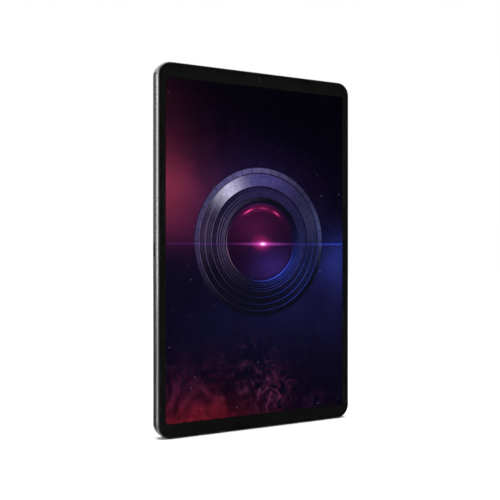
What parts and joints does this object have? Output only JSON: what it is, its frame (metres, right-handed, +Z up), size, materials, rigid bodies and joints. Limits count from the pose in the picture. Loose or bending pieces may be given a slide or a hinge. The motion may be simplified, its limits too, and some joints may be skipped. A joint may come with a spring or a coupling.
{
  "type": "tablet computer",
  "caption": "Slim upright tablet computer with a metal tub, black rim, full glass front, side charging port, side keys, sliding card tray and rear camera.",
  "frame": {"origin": "middle of the bottom edge, at the lowest point of the standing body, halfway through its depth with the camera ring", "axes": "+Z up along the long sides, +X to the right as seen from the front, the screen faces -Y and the back faces +Y"},
  "size_m": [0.1299, 0.0104, 0.209],
  "materials": {
    "body_metal": "fine bead-blasted and anodised dark grey",
    "inlay_plastic": "satin",
    "rim_plastic": "satin black",
    "cover_glass": "polished",
    "black_print": "black ink under glass",
    "sensor_film": "clear film",
    "black_foam": "matte",
    "screen": "lit picture",
    "diffuser": "white satin",
    "steel": "stamped",
    "flex_film": "amber polyimide",
    "frame_metal": "stamped",
    "graphite": "graphite film",
    "cell_foil": "laminated foil",
    "tape": "black tape",
    "board": "solder mask",
    "chip": "moulded",
    "can_metal": "tinned",
    "connector_plastic": "moulded",
    "port_steel": "drawn",
    "port_plastic": "moulded",
    "gold": "gold flash",
    "speaker_plastic": "moulded",
    "mesh_steel": "black woven mesh",
    "mic_can": "can",
    "antenna_carrier": "moulded with a plated track",
    "cable_jacket": "jacket",
    "camera_black": "black",
    "lens_glass": "coated lens",
    "sensor_plastic": "moulded",
    "ring_metal": "turned and anodised",
    "lens_cover": "coated",
    "flash_white": "white",
    "flash_diffuser": "clear diffuser",
    "dome_steel": "snap dome",
    "key_metal": "anodised dark grey",
    "seal_rubber": "moulded",
    "screw_steel": "zinc plated"
  },
  "bodies": {
    "tablet": {"rear_cover": "body_metal", "antenna_breaks": "inlay_plastic", "front_rim": "rim_plastic", "cover_glass": "cover_glass", "border_mask": "black_print", "touch_sensor": "sensor_film", "display_adhesive": "black_foam", "lcd_panel": "screen", "backlight_unit": "diffuser", "backlight_tray": "steel", "display_flex": "flex_film", "mid_frame": "frame_metal", "heat_spreader": "graphite", "battery_cells": "cell_foil", "battery_wrap": "tape", "battery_board": "board", "battery_flex": "flex_film", "main_board": "board", "main_chips": "chip", "shield_cans": "can_metal", "board_connectors": "connector_plastic", "port_shell": "port_steel", "port_tongue": "port_plastic", "port_contacts": "gold", "sub_board": "board", "sub_flex": "flex_film", "card_socket": "steel", "eject_lever": "steel", "speaker_top": "speaker_plastic", "speaker_bottom": "speaker_plastic", "speaker_meshes": "mesh_steel", "vibration_motor": "steel", "microphones": "mic_can", "antennas": "antenna_carrier", "antenna_cables": "cable_jacket", "front_camera": "camera_black", "front_camera_lens": "lens_glass", "light_sensor": "sensor_plastic", "rear_camera": "camera_black", "rear_camera_ring": "ring_metal", "rear_camera_glass": "lens_cover", "camera_flexes": "flex_film", "flash_board": "flash_white", "flash_lens": "flash_diffuser", "key_bracket": "steel", "key_flex": "flex_film", "power_dome": "dome_steel", "volume_domes": "dome_steel", "frame_screws": "screw_steel", "board_screws": "screw_steel"},
    "power_key": {"power_button": "key_metal"},
    "volume_key": {"volume_rocker": "key_metal"},
    "card_slide": {"card_tray": "key_metal", "tray_seal": "seal_rubber"}
  },
  "joints": [
    {"name": "power_press", "type": "slide", "parent": "tablet", "child": "power_key", "axis": [-1, 0, 0], "range_m": [0, 0.00025], "stiffness_N_per_m": 2000, "springref_m": -0.0005, "deforming": ["power_dome"]},
    {"name": "volume_rock", "type": "hinge", "parent": "tablet", "child": "volume_key", "pos_m": [0.0627, 0.00025, 0.1675], "axis": [0, 1, 0], "range_deg": [-1.5, 1.5], "stiffness_Nm_per_rad": 0.3, "deforming": ["volume_domes"]},
    {"name": "tray_slide", "type": "slide", "parent": "tablet", "child": "card_slide", "axis": [1, 0, 0], "range_m": [0, 0.0195]}
  ]
}
